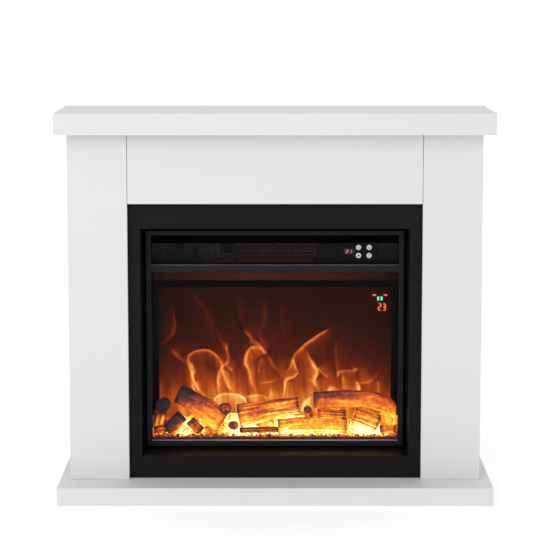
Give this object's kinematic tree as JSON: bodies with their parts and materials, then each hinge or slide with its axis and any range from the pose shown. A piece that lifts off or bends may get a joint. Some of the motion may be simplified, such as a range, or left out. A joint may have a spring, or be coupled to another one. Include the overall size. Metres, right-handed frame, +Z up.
{
  "type": "electric fireplace",
  "caption": "Electric fireplace: a white mantel surround with a black recess that holds a fan-heater fire with a flame screen, moulded logs and push buttons.",
  "frame": {"origin": "middle of the footprint at floor level", "axes": "+X to the right seen from the front, the front faces -Y, +Z up"},
  "size_m": [1, 0.302, 0.898],
  "materials": {
    "white_board": "satin white foil on board",
    "black_board": "matte black foil on board",
    "raw_board": "raw particle board",
    "ivory_nylon": "moulded nylon",
    "zinc_steel": "zinc plated",
    "case_steel": "galvanised sheet",
    "frame_paint": "fine textured dark grey paint",
    "black_paint": "matte black paint",
    "copper_paint": "satin copper brown paint",
    "clear_glass": "polished",
    "fascia_plastic": "gloss black moulding",
    "silver_cap": "satin silver",
    "red_lens": "smoked red lens",
    "status_lens": "smoked black lens",
    "circuit": "solder resist",
    "black_rubber": "matte",
    "black_nylon": "moulded nylon",
    "mica": "mica sheet",
    "heating_wire": "heated resistance wire",
    "blower_metal": "rolled sheet",
    "turned_steel": "turned bar",
    "motor_steel": "laminated steel and wound copper",
    "white_ceramic": "glazed",
    "flame_acrylic": "frosted amber sheet",
    "ember_resin": "translucent moulded resin",
    "log_resin": "painted moulded resin",
    "mirror_foil": "bright foil on rod",
    "light_board": "white circuit board"
  },
  "bodies": {
    "root": {"hearth_board": "white_board", "hearth_ribs": "raw_board", "mantel_shelf": "white_board", "mantel_soffit": "white_board", "left_pilaster": "white_board", "right_pilaster": "white_board", "left_side_panel": "white_board", "right_side_panel": "white_board", "header_panel": "white_board", "inner_top_board": "black_board", "inner_side_boards": "black_board", "inner_bottom_board": "black_board", "top_return": "black_board", "side_returns": "black_board", "support_shelf": "black_board", "shelf_bearers": "raw_board", "rear_rails": "raw_board", "corner_blocks": "ivory_nylon", "wood_screws": "zinc_steel", "wall_brackets": "zinc_steel", "mounting_flange": "black_paint", "front_frame": "frame_paint", "glass_pane": "clear_glass", "glass_clips": "zinc_steel", "bay_liner": "black_paint", "outlet_grille": "frame_paint", "control_fascia": "fascia_plastic", "digit_display": "red_lens", "control_board": "circuit", "case_bottom": "case_steel", "case_sides": "case_steel", "case_top": "case_steel", "rear_cover": "case_steel", "case_feet": "black_rubber", "case_screws": "zinc_steel", "cable_gland": "black_nylon", "heater_deck": "copper_paint", "blower_housing": "case_steel", "element_frame": "mica", "heating_wires": "heating_wire", "blower_motor": "motor_steel", "thermal_cutout": "white_ceramic", "power_board": "circuit", "shaft_bushes": "ivory_nylon", "flame_screen": "flame_acrylic", "screen_mask": "black_paint", "status_display": "status_lens", "ember_bed": "ember_resin", "left_logs": "log_resin", "center_logs": "log_resin", "right_logs": "log_resin", "flame_motor": "motor_steel", "led_strips": "light_board"},
    "power_button": {"button_power": "silver_cap"},
    "heat_button": {"button_heat": "silver_cap"},
    "flame_button": {"button_flame": "silver_cap"},
    "timer_button": {"button_timer": "silver_cap"},
    "blower_rotor": {"blower_wheel": "blower_metal", "blower_shaft": "turned_steel"},
    "flame_rotor": {"flame_spindle": "mirror_foil"}
  },
  "joints": [
    {"name": "power_press", "type": "slide", "parent": "root", "child": "power_button", "axis": [0, 1, 0], "range_m": [0, 0.0008], "stiffness_N_per_m": 800},
    {"name": "heat_press", "type": "slide", "parent": "root", "child": "heat_button", "axis": [0, 1, 0], "range_m": [0, 0.0008], "stiffness_N_per_m": 800},
    {"name": "flame_press", "type": "slide", "parent": "root", "child": "flame_button", "axis": [0, 1, 0], "range_m": [0, 0.0008], "stiffness_N_per_m": 800},
    {"name": "timer_press", "type": "slide", "parent": "root", "child": "timer_button", "axis": [0, 1, 0], "range_m": [0, 0.0008], "stiffness_N_per_m": 800},
    {"name": "blower_spin", "type": "hinge", "parent": "root", "child": "blower_rotor", "pos_m": [0, 0.106, 0.56865], "axis": [1, 0, 0], "continuous": true},
    {"name": "flame_spin", "type": "hinge", "parent": "root", "child": "flame_rotor", "pos_m": [0, 0.114, 0.1522], "axis": [1, 0, 0], "continuous": true}
  ]
}
